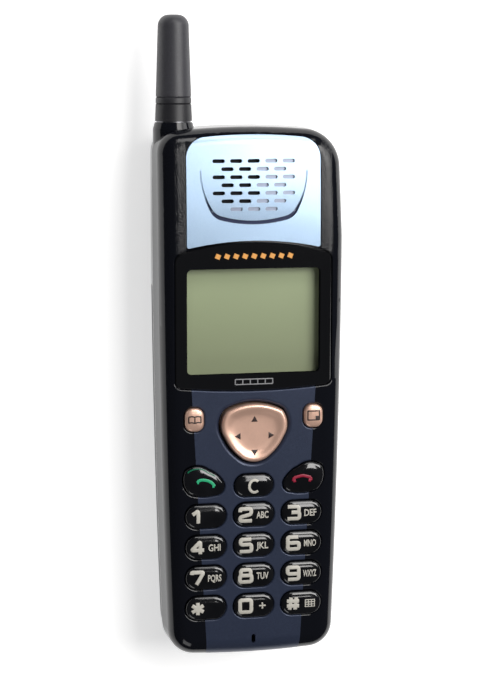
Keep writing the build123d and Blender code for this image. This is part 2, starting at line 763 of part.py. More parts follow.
with BuildPart() as case_screws:
    for x, y in screw_places:
        with Locations((x, y, 11.0)):
            Cylinder(1.9, 1.0)
        with Locations((x, y, 15.6)):
            Cylinder(0.78, 8.4)
        with Locations((x, y, bay_top + 0.4)):
            Box(2.6, 0.5, 0.7, mode=Mode.SUBTRACT)
            Box(0.5, 2.6, 0.7, mode=Mode.SUBTRACT)
save(case_screws, "case_screws")

# ---- SIM card, its reader and its clip --------------------------------------
with BuildPart() as sim_card:
    with Locations((0, sim_near + sim_size[1] / 2, sim_low + sim_size[2] / 2)):
        Box(*sim_size)
    chamfer(sim_card.edges().filter_by(Axis.Z).sort_by(lambda e: e.center().X - e.center().Y)[-1],
            length=3.0)
save(sim_card, "sim_card")

with BuildPart() as sim_reader:
    with Locations((0, sim_near + sim_size[1] / 2, 12.9)):
        Box(12.0, 8.0, 2.6)
    with Locations((0, sim_near + sim_size[1] / 2, 11.5)):
        with GridLocations(2.54, 4.0, 3, 2):
            Box(1.2, 1.8, 0.4)
save(sim_reader, "sim_reader")

with BuildPart() as battery_terminals:
    with Locations((0, 30.6, contact_z)):
        Box(14.0, 4.0, 4.4)
    with Locations((0, 28.0, contact_z)):
        with GridLocations(contact_pitch, 1, 4, 1):
            Box(1.4, 2.3, 1.6)
save(battery_terminals, "battery_terminals")

# ---- battery ----------------------------------------------------------------
battery_inset = (parting_z - battery_split) * math.tan(math.radians(rear_draft))
with BuildPart() as battery_block:
    add(outer_rear)
    with Locations((0, battery_end - 100, battery_top / 2)):
        Box(100, 200, battery_top, mode=Mode.INTERSECT)

with BuildPart() as battery_cavity:
    add(rear_form(-1.4, 1.4, 2.6))
    with Locations((0, -20.0, 4.0)):
        Box(100, 90.0, 2 * (battery_split - 4.0), mode=Mode.INTERSECT)

with BuildPart() as battery_back:
    add(battery_block.part)
    with Locations((0, 0, battery_split + 5)):
        Box(100, 200, 10, mode=Mode.SUBTRACT)
    add(battery_cavity.part, mode=Mode.SUBTRACT)
    add(seam_cut(battery_split, battery_inset + seam_depth, -seam_height), mode=Mode.SUBTRACT)
    with Locations((0, battery_end, 2.5)):
        Box(5.6, 4.0, 2.1, mode=Mode.SUBTRACT)
    with Locations((0, battery_end, contact_z)):
        Box(14.4, 1.0, 2.0, mode=Mode.SUBTRACT)
    with Locations((0, -42.0, 0)):
        Box(30.0, 34.0, 0.6, mode=Mode.SUBTRACT)
    with Locations((0, 16.0, 0)):
        with GridLocations(1, 2.0, 1, 6):
            Box(22.0, 0.9, 0.7, mode=Mode.SUBTRACT)
save(battery_back, "battery_back")

with BuildPart() as battery_lid:
    add(battery_block.part)
    with Locations((0, 0, battery_split - 5)):
        Box(100, 200, 10, mode=Mode.SUBTRACT)
    for x, y in hook_places:
        with Locations((x, y, 11.4)):
            Box(2.2, 2.4, 2.6)
        with Locations((x, y, 13.0)):
            Box(5.0, 2.4, 0.9)
save(battery_lid, "battery_lid")

with BuildPart() as battery_cells:
    with Locations((0, -18.6, 4.9)):
        with GridLocations(cell_size[0] + 0.6, cell_size[1] + 0.9, 2, 2):
            Box(*cell_size)
    fillet(battery_cells.edges().filter_by(Axis.Y), radius=2.0)
save(battery_cells, "battery_cells")

with BuildPart() as battery_contacts:
    with Locations((0, battery_end - 0.35, contact_z)):
        with GridLocations(contact_pitch, 1, 4, 1):
            Box(2.2, 0.3, 1.8)
save(battery_contacts, "battery_contacts")

# ---- battery latch and its spring -------------------------------------------
latch_low = 0.3
with BuildPart() as battery_latch:
    with Locations((0, 31.9, (latch_low + 1.6) / 2)):
        Box(9.4, 6.4, 1.6 - latch_low)
    with Locations((0, 32.4, 2.2)):
        Box(12.4, 7.4, 1.2)
    with Locations((0, 35.6, 3.6)):
        Box(5.0, 1.0, 2.8)
    with Locations((0, 27.2, 2.5)):
        Box(5.0, 4.0, 1.2)
    with Locations((0, 31.9, latch_low)):
        with GridLocations(1, 1.4, 1, 4):
            Box(7.0, 0.6, 0.5, mode=Mode.SUBTRACT)
save(battery_latch, "battery_latch")

with BuildPart() as latch_spring:
    with BuildLine() as spring_line:
        Helix(pitch=1.1, height=6.4, radius=1.0, center=(0, 36.35, 3.9), direction=(0, 1, 0))
    with BuildSketch(Plane(origin=spring_line.line @ 0, z_dir=spring_line.line % 0)):
        Circle(0.16)
    sweep(is_frenet=True)
save(latch_spring, "latch_spring")
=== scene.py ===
"""Early mobile brick phone: finishes, key caps, printed legends, light and camera."""
import json
import math

import bpy
from mathutils import Matrix, Vector

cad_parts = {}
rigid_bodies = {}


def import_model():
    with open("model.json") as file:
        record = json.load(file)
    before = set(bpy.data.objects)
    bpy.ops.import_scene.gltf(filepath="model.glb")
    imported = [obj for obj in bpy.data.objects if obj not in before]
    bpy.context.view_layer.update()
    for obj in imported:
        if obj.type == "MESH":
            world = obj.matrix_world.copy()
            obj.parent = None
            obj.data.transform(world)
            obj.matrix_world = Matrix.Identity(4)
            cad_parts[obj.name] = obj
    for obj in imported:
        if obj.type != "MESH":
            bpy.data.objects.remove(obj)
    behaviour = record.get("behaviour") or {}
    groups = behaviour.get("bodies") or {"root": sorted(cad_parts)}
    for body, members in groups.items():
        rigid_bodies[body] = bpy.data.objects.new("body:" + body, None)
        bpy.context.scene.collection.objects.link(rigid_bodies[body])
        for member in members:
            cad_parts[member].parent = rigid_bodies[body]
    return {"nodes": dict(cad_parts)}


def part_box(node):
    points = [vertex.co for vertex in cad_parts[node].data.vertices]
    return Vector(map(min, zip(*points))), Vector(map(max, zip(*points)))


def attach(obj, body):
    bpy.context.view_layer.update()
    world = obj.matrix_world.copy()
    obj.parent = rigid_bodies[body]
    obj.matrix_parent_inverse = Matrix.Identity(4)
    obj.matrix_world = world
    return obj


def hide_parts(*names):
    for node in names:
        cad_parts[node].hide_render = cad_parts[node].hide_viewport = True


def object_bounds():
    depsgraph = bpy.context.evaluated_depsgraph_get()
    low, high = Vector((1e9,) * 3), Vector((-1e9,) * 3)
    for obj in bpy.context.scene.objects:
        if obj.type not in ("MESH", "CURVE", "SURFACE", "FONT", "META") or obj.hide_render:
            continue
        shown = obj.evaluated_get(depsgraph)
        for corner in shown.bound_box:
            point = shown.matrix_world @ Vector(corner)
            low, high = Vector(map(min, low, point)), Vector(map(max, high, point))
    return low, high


MM = 0.001

for leftover in list(bpy.data.objects):
    bpy.data.objects.remove(leftover)

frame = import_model()
cad_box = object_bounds()
nodes = frame["nodes"]


# ---- shader building ----------------------------------------------------------
class Wire:
    """A socket, or a plain number, in an expression on values"""

    def __init__(self, finish, source):
        self.finish = finish
        self.source = source

    def join(self, operation, *others, first=None):
        inputs = [self.source if first is None else first]
        inputs += [other.source if isinstance(other, Wire) else other for other in others]
        return self.finish.node("ShaderNodeMath", {"operation": operation},
                                dict(enumerate(inputs)))

    def __add__(self, other):
        return self.join("ADD", other)

    def __sub__(self, other):
        return self.join("SUBTRACT", other)

    def __mul__(self, other):
        return self.join("MULTIPLY", other)

    def __truediv__(self, other):
        return self.join("DIVIDE", other)

    def __rsub__(self, other):
        return self.join("SUBTRACT", self, first=other)

    def __gt__(self, other):
        return self.join("GREATER_THAN", other)

    def __lt__(self, other):
        return self.join("LESS_THAN", other)

    def __abs__(self):
        return self.join("ABSOLUTE")

    def largest(self, other):
        return self.join("MAXIMUM", other)

    def ramp(self, low, high, start=0.0, end=1.0):
        """start below low, end above high, and an even change between"""
        return self.finish.node("ShaderNodeMapRange", {"interpolation_type": "SMOOTHSTEP"},
                                {0: self.source, 1: low, 2: high, 3: start, 4: end})


class Finish:
    """A material with one Principled shader and the nodes that vary over its surface"""

    def __init__(self, name, **settings):
        self.material = bpy.data.materials.new(name)
        self.material.use_nodes = True
        self.tree = self.material.node_tree
        self.shader = self.tree.nodes["Principled BSDF"]
        for socket, value in settings.items():
            self.set(socket.replace("_", " ").title().replace("Ior", "IOR"), value)

    def set(self, socket, value):
        """Link a wire to a shader socket, or give the socket a plain value"""
        target = self.shader.inputs[socket]
        if isinstance(value, Wire):
            self.tree.links.new(value.source, target)
        elif isinstance(value, tuple) and len(value) == 3:
            target.default_value = (*value, 1.0)
        else:
            target.default_value = value

    def node(self, kind, settings, inputs, output=0):
        """Any node: its settings first, then the values or links of its sockets"""
        made = self.tree.nodes.new(kind)
        for key, value in settings.items():
            if key == "stops":
                stops = made.color_ramp.elements
                while len(stops) < len(value):
                    stops.new(0.5)
                for stop, (position, shade) in zip(stops, value):
                    stop.position = position
                    stop.color = (*shade, 1.0)
            else:
                setattr(made, key, value)
        for socket, value in inputs.items():
            if isinstance(value, Wire):
                value = value.source
            if isinstance(value, bpy.types.NodeSocket):
                self.tree.links.new(value, made.inputs[socket])
            else:
                made.inputs[socket].default_value = value
        return Wire(self, made.outputs[output])

    def place(self):
        """The point's x, y and z in millimetres, and the vector in metres"""
        spot = self.node("ShaderNodeTexCoord", {}, {}, output="Object")
        parts = self.node("ShaderNodeSeparateXYZ", {}, {0: spot}).source.node
        return [Wire(self, socket) * 1000.0 for socket in parts.outputs] + [spot]

    def noise(self, spot, size, detail=4.0, rough=0.55, stretch=(1, 1, 1)):
        """Noise from 0 to 1 whose features are about size millimetres across"""
        turned = self.node("ShaderNodeMapping", {}, {"Vector": spot, "Scale": stretch})
        return self.node("ShaderNodeTexNoise", {}, {"Vector": turned, "Scale": 1000.0 / size,
                                                    "Detail": detail, "Roughness": rough})

    def mix(self, factor, low, high):
        """A colour between low and high"""
        shades = [(*shade, 1.0) if isinstance(shade, tuple) else shade for shade in (low, high)]
        return self.node("ShaderNodeMix", {"data_type": "RGBA"},
                         {0: factor, 6: shades[0], 7: shades[1]}, output=2)

    def bump(self, height, strength, distance):
        """Bump from a height, distance in millimetres"""
        made = self.node("ShaderNodeBump", {}, {"Strength": strength, "Distance": distance * MM,
                                                "Height": height})
        self.set("Normal", made)


def moulded(name, shade, roughness, grain_size, grain_depth, coat=0.0, wear=0.06):
    """Moulded plastic or rubber: fine grain, faint mottling, and handling marks in its gloss"""
    finish = Finish(name, coat_weight=coat, coat_roughness=0.06)
    *_, spot = finish.place()
    mottle = finish.noise(spot, 6.0, detail=5.0)
    grain = finish.noise(spot, grain_size, detail=3.0, rough=0.7)
    bright = tuple(min(1.0, part * 1.35 + 0.002) for part in shade)
    finish.set("Base Color", finish.mix(mottle.ramp(0.35, 0.7), shade, bright))
    finish.set("Roughness", mottle * wear + grain * 0.05 + (roughness - wear / 2))
    finish.bump(grain, 0.5, grain_depth)
    return finish.material


# ---- finishes of the case --------------------------------------------------------
def case_finish():
    """Front case: gloss black, a slate-blue lacquered band and grained shoulders"""
    finish = Finish("gloss_black_case_with_blue_band", specular_ior_level=0.4)
    x, y, z, spot = finish.place()
    band_half = y * 0.0557 + 15.79
    inside = (band_half - abs(x)).ramp(-0.03, 0.03)
    on_face = (z > 24.35).largest(y < -58.5)
    band = inside * on_face * (y < 3.4) * (z > 17.5)
    flake = finish.noise(spot, 0.12, detail=2.0, rough=0.8)
    cloud = finish.noise(spot, 14.0, detail=2.0)
    lacquer = finish.mix(flake.ramp(0.3, 0.75), (0.026, 0.034, 0.062), (0.050, 0.066, 0.118))
    lacquer = finish.mix(cloud * 0.3, lacquer, (0.017, 0.023, 0.044))
    finish.set("Base Color", finish.mix(band, (0.0042, 0.0048, 0.0075), lacquer))
    shoulder = (abs(x) - 17.1).ramp(0.0, 0.25) * (20.6 - abs(x)).ramp(0.0, 0.9)
    shoulder = shoulder * (y > 36.5) * (66.0 - y).ramp(0.0, 4.0) * (z > 20.5)
    leather = finish.node("ShaderNodeTexVoronoi", {"feature": "DISTANCE_TO_EDGE"},
                          {"Vector": spot, "Scale": 1900.0})
    handled = finish.noise(spot, 9.0, detail=6.0)
    smooth = handled * 0.07 + 0.07
    finish.set("Roughness", smooth + shoulder * 0.14 + band * (flake * 0.12 + 0.16))
    finish.set("Metallic", band * 0.35)
    height = leather.ramp(0.0, 0.35) * shoulder + flake * 0.05 * band + handled * 0.02
    finish.bump(height, 0.6, 0.05)
    return finish.material


def plate_finish():
    """Earpiece plate: light steel-blue metallic lacquer, with painted shade inside the slots and in the
    dish's groove
    """
    finish = Finish("steel_blue_metallic_lacquer", coat_weight=0.25, coat_roughness=0.10)
    x, y, z, spot = finish.place()
    flake = finish.noise(spot, 0.10, detail=2.0, rough=0.8)
    cloud = finish.noise(spot, 10.0, detail=3.0)
    paint = finish.mix(flake.ramp(0.25, 0.8), (0.30, 0.42, 0.57), (0.46, 0.60, 0.76))
    paint = finish.mix(cloud * 0.35, paint, (0.32, 0.45, 0.62))
    face_level = 25.0 - (y - 34.0) * (y - 34.0) / 722.0
    depth = face_level - z
    shaded_slots = (y > 46.7) * (y < 63.0) * (abs(x) < 10.6)
    shaded_dish_groove = (y > 42.0) * (y < 58.0) * (1.0 - shaded_slots)
    # painted shade: the lacquer darkens with depth inside the slots
    paint = finish.mix(depth.ramp(0.40, 0.66) * shaded_slots, paint, (0.19, 0.22, 0.29))
    # painted shade: the dish's groove darkens with depth almost to black
    paint = finish.mix(depth.ramp(0.36, 0.62) * shaded_dish_groove, paint, (0.035, 0.042, 0.085))
    scuff = finish.noise(spot, 2.2, detail=7.0, rough=0.75)
    finish.set("Base Color", finish.mix(scuff.ramp(0.66, 0.74) * 0.3, paint, (0.20, 0.24, 0.32)))
    finish.set("Metallic", 0.72)
    finish.set("Roughness", flake * 0.10 + cloud * 0.06 + scuff * 0.06 + 0.21)
    finish.bump(flake, 0.15, 0.01)
    return finish.material


def lens_finish(window):
    """Display lens: clear acrylic window inside a black printed border"""
    finish = Finish("clear_window_black_border", coat_weight=0.6, coat_roughness=0.02)
    x, y, z, spot = finish.place()
    low, high = window
    corner = 1.3
    reach_x = (abs(x - (low[0] + high[0]) / 2) - ((high[0] - low[0]) / 2 - corner)).largest(0.0)
    reach_y = (abs(y - (low[1] + high[1]) / 2) - ((high[1] - low[1]) / 2 - corner)).largest(0.0)
    corner_reach = (reach_x * reach_x + reach_y * reach_y).join("SQRT")
    border = corner_reach.ramp(corner - 0.08, corner + 0.08)
    smear = finish.noise(spot, 7.0, detail=6.0, stretch=(1, 0.5, 1))
    finish.set("Base Color", (0.004, 0.0042, 0.005))
    finish.set("Roughness", smear * 0.06 + 0.05)
    finish.set("Alpha", border * 0.93 + 0.07)
    return finish.material


def lcd_finish():
    """Liquid crystal cell: grey-green polariser, faint rows of unlit cells, and painted light brighter
    towards the top end
    """
    finish = Finish("grey_green_crystal_cell", roughness=0.35, coat_weight=0.5, coat_roughness=0.12)
    x, y, z, spot = finish.place()
    cloud = finish.noise(spot, 16.0, detail=3.0)
    rows = ((y * 1.35).join("FRACT") > 0.16) * ((x * 1.35).join("FRACT") > 0.16)
    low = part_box("lcd_glass")[0].y / MM
    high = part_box("lcd_glass")[1].y / MM
    # painted light: the cell is lighter towards its top end and darker towards the bottom, as light falls
    fade = (y - low) / (high - low)
    green = finish.mix(fade.ramp(0.0, 1.0), (0.33, 0.375, 0.225), (0.50, 0.59, 0.35))
    green = finish.mix(cloud * 0.35, green, (0.37, 0.42, 0.25))
    finish.set("Base Color", finish.mix(rows * 0.10, green, (0.27, 0.315, 0.185)))
    finish.set("Roughness", cloud * 0.08 + 0.30)
    return finish.material


def rubber_finish():
    """Antenna and cover rubber: black, slightly speckled, dull"""
    finish = Finish("dull_black_rubber", specular_ior_level=0.5)
    x, y, z, spot = finish.place()
    speck = finish.noise(spot, 0.18, detail=3.0, rough=0.8)
    cloud = finish.noise(spot, 5.0, detail=3.0, stretch=(1, 0.4, 1))
    skin = finish.mix(speck.ramp(0.4, 0.75), (0.034, 0.034, 0.040), (0.068, 0.068, 0.079))
    finish.set("Base Color", finish.mix(y.ramp(73.0, 76.0), (0.016, 0.016, 0.019), skin))
    finish.set("Roughness", cloud * 0.14 + 0.38)
    finish.bump(speck, 0.4, 0.02)
    return finish.material


def lacquered_metal(name, shade, roughness, metallic):
    """Metallic lacquer with fine flake and faint wear in scattered patches"""
    finish = Finish(name, coat_weight=0.3, coat_roughness=0.08, metallic=metallic)
    *_, spot = finish.place()
    flake = finish.noise(spot, 0.09, detail=2.0, rough=0.8)
    worn = finish.noise(spot, 3.5, detail=6.0, rough=0.65)
    dark = tuple(part * 0.80 for part in shade)
    light = tuple(min(1.0, part * 1.12) for part in shade)
    paint = finish.mix(flake.ramp(0.25, 0.8), dark, light)
    bare = tuple(part * 0.6 for part in shade)
    finish.set("Base Color", finish.mix(worn.ramp(0.62, 0.8) * 0.25, paint, bare))
    finish.set("Roughness", flake * 0.08 + worn * 0.10 + (roughness - 0.08))
    finish.bump(flake, 0.12, 0.01)
    return finish.material


def metal(name, shade, roughness=0.30):
    """Sheet or turned metal with a drawn grain"""
    finish = Finish(name, metallic=1.0)
    *_, spot = finish.place()
    grain = finish.noise(spot, 0.8, detail=4.0, stretch=(1, 12, 1))
    tarnish = finish.noise(spot, 4.0, detail=4.0)
    dull = tuple(part * 0.7 for part in shade)
    finish.set("Base Color", finish.mix(tarnish.ramp(0.45, 0.8) * 0.5, shade, dull))
    finish.set("Roughness", grain * 0.15 + tarnish * 0.12 + (roughness - 0.12))
    finish.bump(grain, 0.2, 0.01)
    return finish.material


def board_finish():
    """Circuit board: green mask over copper traces"""
    finish = Finish("green_circuit_board", roughness=0.35, coat_weight=0.3)
    *_, spot = finish.place()
    traces = finish.node("ShaderNodeTexBrick", {"offset": 0.37}, {
        "Vector": spot, "Scale": 420.0, "Mortar Size": 0.06, "Color1": (0, 0, 0, 1),
        "Color2": (0, 0, 0, 1), "Mortar": (1, 1, 1, 1)})
    cloud = finish.noise(spot, 5.0)
    finish.set("Base Color", finish.mix(traces, (0.012, 0.085, 0.035), (0.03, 0.16, 0.07)))
    finish.set("Roughness", cloud * 0.1 + 0.3)
    finish.bump(traces, 0.3, 0.02)
    return finish.material


def printed(name, shade, roughness=0.4):
    """Printing ink: slightly uneven, faintly worn"""
    finish = Finish(name)
    *_, spot = finish.place()
    wear = finish.noise(spot, 0.9, detail=5.0, rough=0.7)
    faded = tuple(part * 0.55 for part in shade)
    finish.set("Base Color", finish.mix(wear.ramp(0.45, 0.85) * 0.35, shade, faded))
    finish.set("Roughness", wear * 0.15 + (roughness - 0.08))
    return finish.material


def woven_finish():
    """Dust mesh: fine black woven cloth"""
    finish = Finish("black_woven_dust_mesh", specular_ior_level=0.2)
    x, y, *_ = finish.place()
    thread = ((x * 4.0).join("FRACT") - 0.5) * ((y * 4.0).join("FRACT") - 0.5)
    weave = (thread * 3.0 + 0.5).ramp(0.1, 0.9)
    finish.set("Base Color", finish.mix(weave, (0.006, 0.006, 0.007), (0.018, 0.018, 0.021)))
    finish.set("Roughness", weave * 0.2 + 0.6)
    finish.bump(weave, 0.6, 0.06)
    return finish.material


window_low = (-17.0, 6.06)
window_high = (17.0, 32.6)

black_case = moulded("gloss_black_plastic", (0.0045, 0.005, 0.0075), 0.14, 0.25, 0.006)
satin_black = moulded("satin_black_plastic", (0.008, 0.0085, 0.011), 0.42, 0.22, 0.03)
inner_black = moulded("dark_inner_plastic", (0.018, 0.018, 0.020), 0.5, 0.3, 0.03)
key_black = moulded("gloss_black_key", (0.0030, 0.0032, 0.0042), 0.085, 0.4, 0.003, coat=0.5,
                    wear=0.03)
key_gold = lacquered_metal("rose_gold_lacquer", (0.88, 0.56, 0.43), 0.34, metallic=0.62)
rubber = rubber_finish()
mat_grey = moulded("grey_silicone", (0.30, 0.31, 0.30), 0.5, 0.5, 0.02)
chip_black = moulded("chip_black", (0.02, 0.02, 0.021), 0.55, 0.15, 0.02)
milky = moulded("milky_light_guide", (0.62, 0.66, 0.60), 0.2, 0.6, 0.004, coat=0.2)
card_white = moulded("blank_white_card", (0.70, 0.70, 0.66), 0.4, 0.4, 0.005)
tinned = metal("tinned_steel", (0.62, 0.62, 0.63))
dark_steel = metal("dark_zinc_steel", (0.20, 0.20, 0.215), roughness=0.35)
gold = metal("gold_plating", (0.83, 0.60, 0.24), roughness=0.25)
cell_wrap = moulded("grey_cell_wrap", (0.20, 0.22, 0.24), 0.3, 0.5, 0.01, coat=0.2)
mesh_steel = woven_finish()
legend_white = printed("off_white_ink", (0.55, 0.53, 0.47))
legend_green = printed("green_ink", (0.02, 0.42, 0.19))
# painted glow, not ink: dim green along the send key's upper edge
painted_green_glow = printed("painted_green_glow_finish", (0.006, 0.13, 0.065), roughness=0.25)
legend_red = printed("red_ink", (0.30, 0.008, 0.035))
legend_dark = printed("dark_brown_ink", (0.035, 0.020, 0.018))
legend_grey = printed("grey_ink", (0.26, 0.26, 0.27))
legend_gold = printed("gold_ink", (0.85, 0.40, 0.10), roughness=0.3)

finishes = {"front_case": case_finish(), "earpiece_plate": plate_finish(),
            "display_lens": lens_finish((window_low, window_high)), "lcd_glass": lcd_finish(),
            "main_board": board_finish()}
by_finish = [
    (black_case, "rear_case battery_latch"),
    (satin_black, "battery_back battery_lid"),
    (inner_black, "lcd_holder battery_terminals buzzer ear_speaker headset_jack sim_reader "
                  "system_connector"),
    (rubber, "antenna_stub jack_cover mic_boot speaker_gasket zebra_strip"),
    (mat_grey, "keypad_mat"),
    (chip_black, "board_chips antenna_core"),
    (milky, "light_guide"),
    (card_white, "sim_card"),
    (tinned, "shield_can_radio shield_can_logic snap_domes backup_cell microphone nav_pivot latch_spring"),
    (dark_steel, "antenna_ferrule case_screws"),
    (gold, "antenna_bushing antenna_contact antenna_coil connector_pins battery_contacts"),
    (cell_wrap, "battery_cells"),
    (mesh_steel, "earpiece_mesh"),
]
for material, names in by_finish:
    for name in names.split():
        finishes[name] = material
for name, material in finishes.items():
    for place in nodes[name].material_slots:
        place.material = material


# ---- modelling helpers --------------------------------------------------------------
def deselect():
    """Nothing selected, in object mode"""
    if bpy.context.object and bpy.context.object.mode != "OBJECT":
        bpy.ops.object.mode_set(mode="OBJECT")
    bpy.ops.object.select_all(action="DESELECT")


def only(piece):
    """Select one piece and make it active"""
    deselect()
    piece.select_set(True)
    bpy.context.view_layer.objects.active = piece


def finish_piece(piece, name, material, body, replaced=()):
    """Name, finish and hand over a finished piece"""
    only(piece)
    bpy.ops.object.transform_apply(location=True, rotation=True, scale=True)
    piece.name = name
    piece.data.name = name
    piece.data.materials.clear()
    piece.data.materials.append(material)
    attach(piece, body)
    if replaced:
        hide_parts(*replaced)
    return piece


def rim_of(node, level, count):
    """Even points round a CAD piece's outline at a height, from its own vertices"""
    spots = {(round(v.co.x, 6), round(v.co.y, 6)) for v in nodes[node].data.vertices
             if abs(v.co.z - level) < 0.02 * MM}
    middle = Vector((sum(s[0] for s in spots), sum(s[1] for s in spots))) / len(spots)
    ring = sorted(spots, key=lambda s: math.atan2(s[1] - middle.y, s[0] - middle.x))
    ring = [Vector(s) for s in ring]
    lengths = [(ring[i - 1] - ring[i]).length for i in range(1, len(ring))]
    lengths.append((ring[-1] - ring[0]).length)
    total = sum(lengths)
    points = []
    index = 0
    passed = 0.0
    for step in range(count):
        target = total * step / count
        while passed + lengths[index] < target:
            passed += lengths[index]
            index += 1
        share = (target - passed) / lengths[index]
        points.append(ring[index].lerp(ring[(index + 1) % len(ring)], share))
    return points


def cap(node, level, low, profile, centre=None, count=96):
    """A key cap on a CAD key's outline: a wall, then rings stepped inwards and up

    With a centre, the rings shrink towards it, which suits outlines with tight corners.
    """
    ring = rim_of(node, level, count)
    deselect()
    bpy.ops.mesh.primitive_circle_add(vertices=count, radius=0.01, fill_type="NGON")
    piece = bpy.context.object
    for vertex, point in zip(piece.data.vertices, ring):
        vertex.co = (point.x, point.y, low)
    bpy.ops.object.mode_set(mode="EDIT")
    bpy.ops.mesh.select_all(action="SELECT")
    bpy.ops.mesh.extrude_region_move(TRANSFORM_OT_translate={"value": (0, 0, level - low)})
    if centre:
        middle = Vector((centre[0], centre[1], 0)) * MM
        reach = sum((point.to_3d() - middle).length for point in ring) / count
    for inward, up in profile:
        if centre:
            bpy.ops.mesh.extrude_region_move(TRANSFORM_OT_translate={"value": (0, 0, up * MM)})
            factor = (reach - inward * MM) / reach
            bpy.ops.transform.resize(value=(factor, factor, 1), center_override=middle)
            reach -= inward * MM
        else:
            bpy.ops.mesh.inset(thickness=inward * MM, depth=up * MM, use_even_offset=True)
    bpy.ops.mesh.select_all(action="SELECT")
    bpy.ops.mesh.normals_make_consistent(inside=False)
    bpy.ops.object.mode_set(mode="OBJECT")
    bpy.ops.object.shade_smooth_by_angle(angle=math.radians(50))
    return piece


def dome(depth, height, rings):
    """Inset and rise of each ring of a quarter-round crown"""
    profile = []
    last_in, last_up = 0.0, 0.0
    for step in range(1, rings + 1):
        angle = math.pi / 2 * step / rings
        inward = depth * (1 - math.cos(angle))
        up = height * math.sin(angle)
        profile.append((inward - last_in, up - last_up))
        last_in, last_up = inward, up
    return profile


def laid_on(piece, support, lift):
    """Drop a flat piece on a support: each point keeps its own small height above it"""
    for vertex in piece.data.vertices:
        hit, spot, *_ = support.ray_cast(
            Vector((vertex.co.x, vertex.co.y, 0.05)), Vector((0, 0, -1)))
        vertex.co.z += (spot.z if hit else 0.0) + lift * MM


stroke_step = 0.006         # strokes that cross lie this far above each other


def stroke_mesh(paths, width, thick, centre, size, soft=0.16, drawn=True):
    """Rounded strokes along paths, as one mesh: drawn in a unit square, or already in place"""
    curve = bpy.data.curves.new("strokes", "CURVE")
    curve.dimensions = "3D"
    curve.bevel_depth = width / 2 * MM
    curve.bevel_resolution = 3
    curve.use_fill_caps = True
    for number, path in enumerate(paths):
        points = [Vector((px, py)) for px, py in path]
        points = softened(points, soft) if soft else points
        shift = 0.5 if drawn else 0.0
        points = [Vector(((spot.x - shift) * size[0], (spot.y - shift) * size[1])) for spot in points]
        points = evenly(points, 0.18)
        spline = curve.splines.new("POLY")
        spline.points.add(len(points) - 1)
        for point, spot in zip(spline.points, points):
            point.co = (spot.x * MM, spot.y * MM, number * stroke_step * width / thick * MM, 1)
    strokes = bpy.data.objects.new("strokes", curve)
    bpy.context.scene.collection.objects.link(strokes)
    only(strokes)
    bpy.ops.object.convert(target="MESH")
    piece = bpy.context.object
    flat = thick / width
    for vertex in piece.data.vertices:
        vertex.co = (vertex.co.x + centre[0] * MM, vertex.co.y + centre[1] * MM, vertex.co.z * flat)
    return piece


def evenly(points, step):
    """The same line with a point at least every step millimetres"""
    line = [points[0]]
    for start, end in zip(points, points[1:]):
        parts = max(1, math.ceil((end - start).length / step))
        line += [start.lerp(end, part / parts) for part in range(1, parts + 1)]
    return line


def softened(path, radius):
    """A path with each corner rounded by a short arc"""
    points = [path[0]]
    for before, corner, after in zip(path, path[1:], path[2:]):
        reach = min(radius, (before - corner).length / 2, (after - corner).length / 2)
        start = corner + (before - corner).normalized() * reach
        end = corner + (after - corner).normalized() * reach
        for step in range(6):
            share = step / 5
            points.append(start.lerp(corner, share).lerp(corner.lerp(end, share), share))
    return points + [path[-1]]


def text_mesh(words, height, centre, bold, width):
    """Small print from the built-in face, as a thin mesh of the given width"""
    deselect()
    bpy.ops.object.text_add()
    letters = bpy.context.object
    letters.data.body = words
    letters.data.align_x = "CENTER"
    letters.data.align_y = "CENTER"
    letters.data.size = height * MM * 1.4
    letters.data.offset = bold * MM
    letters.data.extrude = 0.02 * MM
    letters.data.resolution_u = 3
    only(letters)
    bpy.ops.object.convert(target="MESH")
    piece = bpy.context.object
    stretch = width * MM / piece.dimensions.x
    for vertex in piece.data.vertices:
        vertex.co.x = vertex.co.x * stretch + centre[0] * MM
        vertex.co.y += centre[1] * MM
    return finely_cut(piece, 0.3)


def finely_cut(piece, step):
    """Cut a small flat piece across every step millimetres each way, so that it can follow a curve"""
    low = [min(v.co[axis] for v in piece.data.vertices) for axis in (0, 1)]
    high = [max(v.co[axis] for v in piece.data.vertices) for axis in (0, 1)]
    only(piece)
    bpy.ops.object.mode_set(mode="EDIT")
    for axis in (0, 1):
        normal = (1, 0, 0) if axis == 0 else (0, 1, 0)
        for count in range(1, math.ceil((high[axis] - low[axis]) / MM / step)):
            level = low[axis] + count * step * MM
            bpy.ops.mesh.select_all(action="SELECT")
            bpy.ops.mesh.bisect(plane_co=tuple(level * part for part in normal), plane_no=normal)
    bpy.ops.object.mode_set(mode="OBJECT")
    return piece


